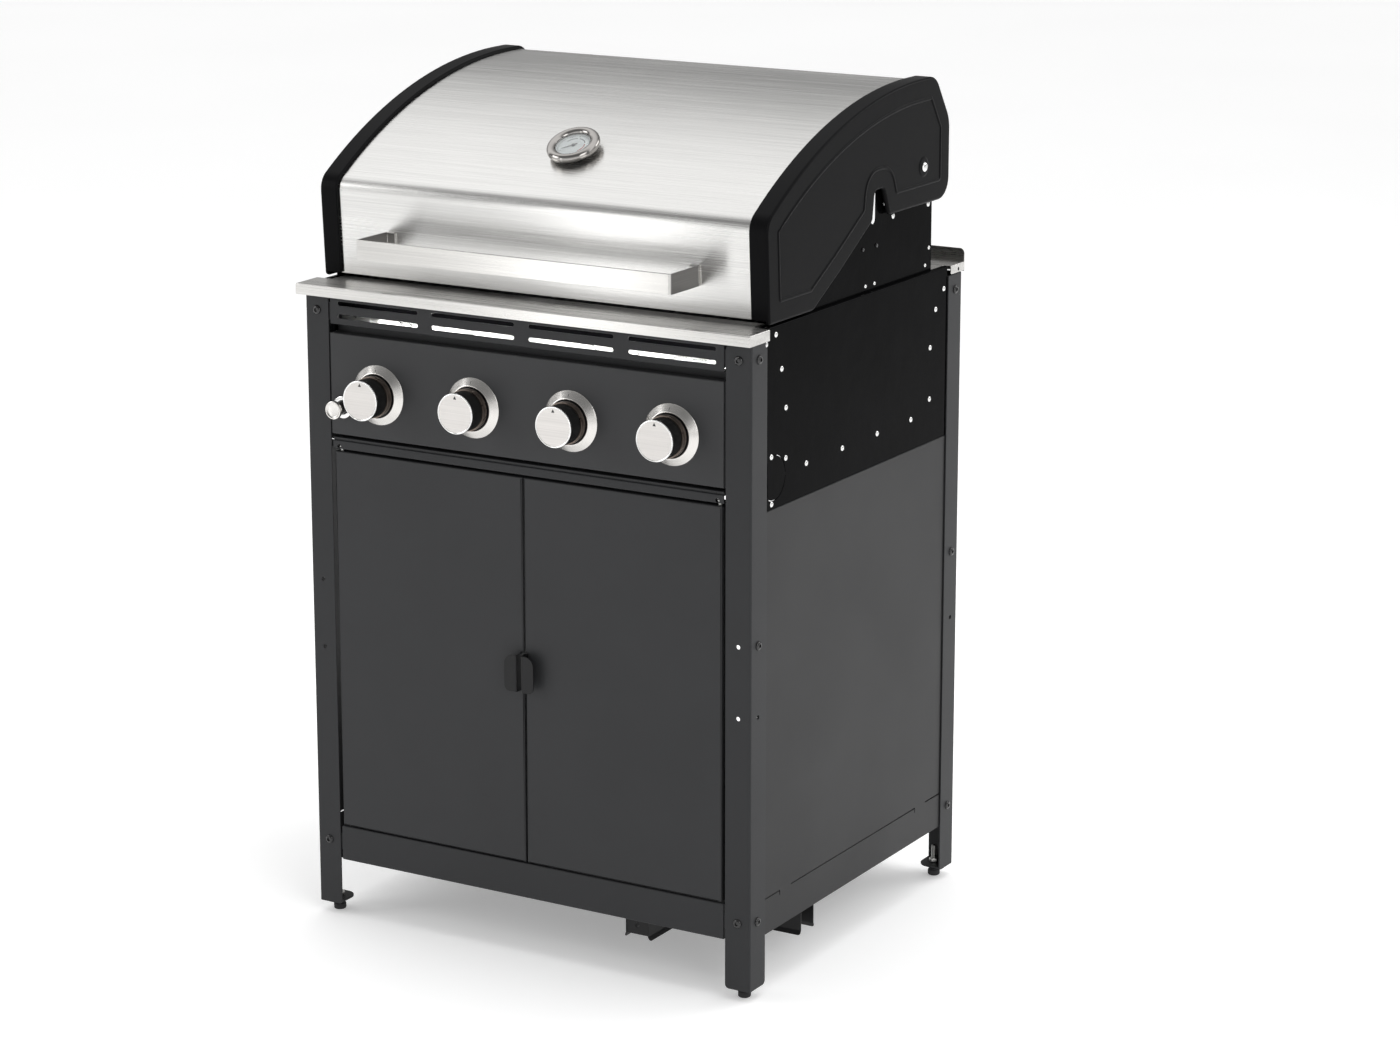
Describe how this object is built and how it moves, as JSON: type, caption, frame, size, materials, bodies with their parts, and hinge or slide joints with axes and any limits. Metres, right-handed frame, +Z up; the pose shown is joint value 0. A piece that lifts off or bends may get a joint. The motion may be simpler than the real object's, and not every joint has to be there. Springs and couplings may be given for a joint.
{
  "type": "gas barbecue grill",
  "caption": "Free-standing gas barbecue: curved steel lid on a cabinet with two doors, control knobs, a push igniter, cooking grates, a grease tray and levelling feet.",
  "frame": {"origin": "on the floor, in the middle of the whole footprint", "axes": "+Z up; the user stands on the -Y side; +X is the user's right"},
  "size_m": [0.732, 0.66, 1.208],
  "materials": {
    "frame_coat": "satin powder coat, fine texture",
    "panel_coat": "satin powder coat, fine texture",
    "pull_coat": "satin powder coat",
    "gloss_black": "gloss enamel",
    "lid_coat": "satin enamel",
    "firebox_steel": "aluminised sheet, dull",
    "stainless": "brushed along its length",
    "knob": "brushed face, black knurled grip",
    "brass": "machined",
    "cast_iron": "matt enamelled cast iron",
    "chrome": "bright plated",
    "black_bolts": "blackened steel",
    "rubber": "matt",
    "tray_steel": "dull sheet"
  },
  "bodies": {
    "cabinet": {"leg_front_left": "frame_coat", "leg_front_right": "frame_coat", "leg_rear_left": "frame_coat", "leg_rear_right": "frame_coat", "vent_rail": "frame_coat", "control_panel": "panel_coat", "header_rail": "frame_coat", "lower_front_rail": "frame_coat", "rear_rails": "frame_coat", "side_panel_left": "panel_coat", "side_panel_right": "panel_coat", "upper_panel_left": "gloss_black", "upper_panel_right": "gloss_black", "firebox_side_left": "gloss_black", "firebox_side_right": "gloss_black", "firebox_front": "firebox_steel", "firebox_back": "firebox_steel", "firebox_floor": "firebox_steel", "bottom_shelf": "frame_coat", "bottle_rails": "frame_coat", "countertop": "stainless", "rear_shelf": "stainless", "burners": "firebox_steel", "flame_tamers": "firebox_steel", "manifold": "firebox_steel", "gas_valves": "brass", "cooking_grate_left": "cast_iron", "cooking_grate_right": "cast_iron", "warming_rack": "chrome", "knob_bezels": "stainless", "igniter_collar": "stainless", "panel_rivets": "chrome", "frame_bolts": "black_bolts", "door_hinge_pins": "chrome"},
    "lid": {"lid_skin": "stainless", "lid_cap_left": "lid_coat", "lid_cap_right": "lid_coat", "lid_handle": "stainless", "thermometer": "stainless", "lid_hinge_bolts": "chrome"},
    "door_left": {"door_left": "panel_coat", "door_pull_left": "pull_coat"},
    "door_right": {"door_right": "panel_coat", "door_pull_right": "pull_coat"},
    "stem_1": {"valve_stem_1": "brass"},
    "stem_2": {"valve_stem_2": "brass"},
    "stem_3": {"valve_stem_3": "brass"},
    "stem_4": {"valve_stem_4": "brass"},
    "knob_1": {"knob_1": "knob"},
    "knob_2": {"knob_2": "knob"},
    "knob_3": {"knob_3": "knob"},
    "knob_4": {"knob_4": "knob"},
    "igniter": {"igniter_button": "stainless"},
    "grease_drawer": {"grease_tray": "tray_steel", "grease_cup": "tray_steel"},
    "foot_front_left": {"foot_front_left": "rubber"},
    "foot_front_right": {"foot_front_right": "rubber"},
    "foot_rear_left": {"foot_rear_left": "rubber"},
    "foot_rear_right": {"foot_rear_right": "rubber"}
  },
  "joints": [
    {"name": "lid_hinge", "type": "hinge", "parent": "cabinet", "child": "lid", "pos_m": [0, 0.199, 1.084], "axis": [-1, 0, 0], "range_deg": [0, 90]},
    {"name": "door_left_hinge", "type": "hinge", "parent": "cabinet", "child": "door_left", "pos_m": [-0.308, -0.276, 0.415], "axis": [0, 0, -1], "range_deg": [0, 100]},
    {"name": "door_right_hinge", "type": "hinge", "parent": "cabinet", "child": "door_right", "pos_m": [0.308, -0.276, 0.415], "axis": [0, 0, 1], "range_deg": [0, 100]},
    {"name": "knob_1_turn", "type": "hinge", "parent": "cabinet", "child": "stem_1", "pos_m": [-0.2379, -0.28, 0.781], "axis": [0, -1, 0], "range_deg": [0, 180]},
    {"name": "knob_2_turn", "type": "hinge", "parent": "cabinet", "child": "stem_2", "pos_m": [-0.0793, -0.28, 0.781], "axis": [0, -1, 0], "range_deg": [0, 180]},
    {"name": "knob_3_turn", "type": "hinge", "parent": "cabinet", "child": "stem_3", "pos_m": [0.0793, -0.28, 0.781], "axis": [0, -1, 0], "range_deg": [0, 180]},
    {"name": "knob_4_turn", "type": "hinge", "parent": "cabinet", "child": "stem_4", "pos_m": [0.2379, -0.28, 0.781], "axis": [0, -1, 0], "range_deg": [0, 180]},
    {"name": "knob_1_push", "type": "slide", "parent": "stem_1", "child": "knob_1", "axis": [0, 1, 0], "range_m": [0, 0.003], "stiffness_N_per_m": 1500, "springref_m": -0.002},
    {"name": "knob_2_push", "type": "slide", "parent": "stem_2", "child": "knob_2", "axis": [0, 1, 0], "range_m": [0, 0.003], "stiffness_N_per_m": 1500, "springref_m": -0.002},
    {"name": "knob_3_push", "type": "slide", "parent": "stem_3", "child": "knob_3", "axis": [0, 1, 0], "range_m": [0, 0.003], "stiffness_N_per_m": 1500, "springref_m": -0.002},
    {"name": "knob_4_push", "type": "slide", "parent": "stem_4", "child": "knob_4", "axis": [0, 1, 0], "range_m": [0, 0.003], "stiffness_N_per_m": 1500, "springref_m": -0.002},
    {"name": "igniter_press", "type": "slide", "parent": "cabinet", "child": "igniter", "axis": [0, 1, 0], "range_m": [0, 0.005], "stiffness_N_per_m": 900, "springref_m": -0.003},
    {"name": "grease_drawer_slide", "type": "slide", "parent": "cabinet", "child": "grease_drawer", "axis": [0, 1, 0], "range_m": [0, 0.3]},
    {"name": "foot_front_left_screw", "type": "hinge", "parent": "cabinet", "child": "foot_front_left", "pos_m": [-0.34, -0.264, 0], "axis": [0, 0, 1], "continuous": true},
    {"name": "foot_front_right_screw", "type": "hinge", "parent": "cabinet", "child": "foot_front_right", "pos_m": [0.34, -0.264, 0], "axis": [0, 0, 1], "continuous": true},
    {"name": "foot_rear_left_screw", "type": "hinge", "parent": "cabinet", "child": "foot_rear_left", "pos_m": [-0.34, 0.304, 0], "axis": [0, 0, 1], "continuous": true},
    {"name": "foot_rear_right_screw", "type": "hinge", "parent": "cabinet", "child": "foot_rear_right", "pos_m": [0.34, 0.304, 0], "axis": [0, 0, 1], "continuous": true}
  ]
}
